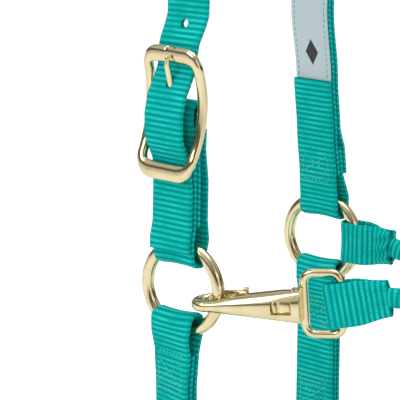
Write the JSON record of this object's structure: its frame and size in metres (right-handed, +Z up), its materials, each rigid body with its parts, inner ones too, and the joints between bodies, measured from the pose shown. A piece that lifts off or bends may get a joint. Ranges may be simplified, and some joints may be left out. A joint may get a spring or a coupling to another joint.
{
  "type": "horse halter",
  "caption": "Flat webbing horse halter with buckled crown, round and square rings, rolled throat strap with a bolt snap, noseband, chin and jaw straps.",
  "frame": {"origin": "middle of the crown strap's inner face at the top of the poll, where the halter hangs on the head", "axes": "+X towards the horse's tail, +Y to its far (right) side, +Z up"},
  "size_m": [0.3085, 0.1501, 0.4522],
  "materials": {
    "webbing": "ribbed teal nylon webbing, sewn with matching thread",
    "hardware": "polished pale brass plating",
    "spring": "bright spring wire",
    "label": "grey reflective strip with stitched edges"
  },
  "bodies": {
    "crown": {"crown_strap": "webbing", "crown_lining": "webbing", "crown_label": "label", "offside_ring_loop": "webbing", "buckle_chape": "webbing", "buckle_frame": "hardware"},
    "tongue": {"buckle_tongue": "hardware"},
    "near_ring": {"near_upper_ring": "hardware"},
    "far_ring": {"far_upper_ring": "hardware"},
    "lower": {"near_cheek_strap": "webbing", "far_cheek_strap": "webbing", "near_side_square": "hardware", "far_side_square": "hardware", "noseband": "webbing", "near_chin_strap": "webbing", "far_chin_strap": "webbing", "jaw_strap": "webbing", "throat_near_tab": "webbing", "throat_roll": "webbing", "throat_far_tab": "webbing", "snap_body": "hardware", "snap_plug": "hardware", "snap_spring": "spring"},
    "bolt": {"snap_bolt": "hardware"},
    "lead": {"lead_ring": "hardware"}
  },
  "joints": [
    {"name": "lower_swing", "type": "hinge", "parent": "crown", "child": "lower", "pos_m": [0, 0, -0.23622], "axis": [0, 1, 0], "range_deg": [-2, 30]},
    {"name": "tongue_lift", "type": "hinge", "parent": "crown", "child": "tongue", "pos_m": [0, -0.06486, -0.14472], "axis": [1, 0, 0], "range_deg": [0, 4]},
    {"name": "near_ring_turn", "type": "hinge", "parent": "crown", "child": "near_ring", "pos_m": [0, -0.066, -0.23622], "axis": [0, 1, 0], "continuous": true},
    {"name": "far_ring_turn", "type": "hinge", "parent": "crown", "child": "far_ring", "pos_m": [0, 0.066, -0.23622], "axis": [0, 1, 0], "continuous": true},
    {"name": "lead_ring_turn", "type": "hinge", "parent": "lower", "child": "lead", "pos_m": [0.085, 0, -0.42122], "axis": [1, 0, 0], "continuous": true},
    {"name": "bolt_slide", "type": "slide", "parent": "lower", "child": "bolt", "axis": [0.9374, 0.3412, 0.0698], "range_m": [0, 0.0085], "stiffness_N_per_m": 350, "springref_m": -0.004, "deforming": ["snap_spring"]}
  ]
}
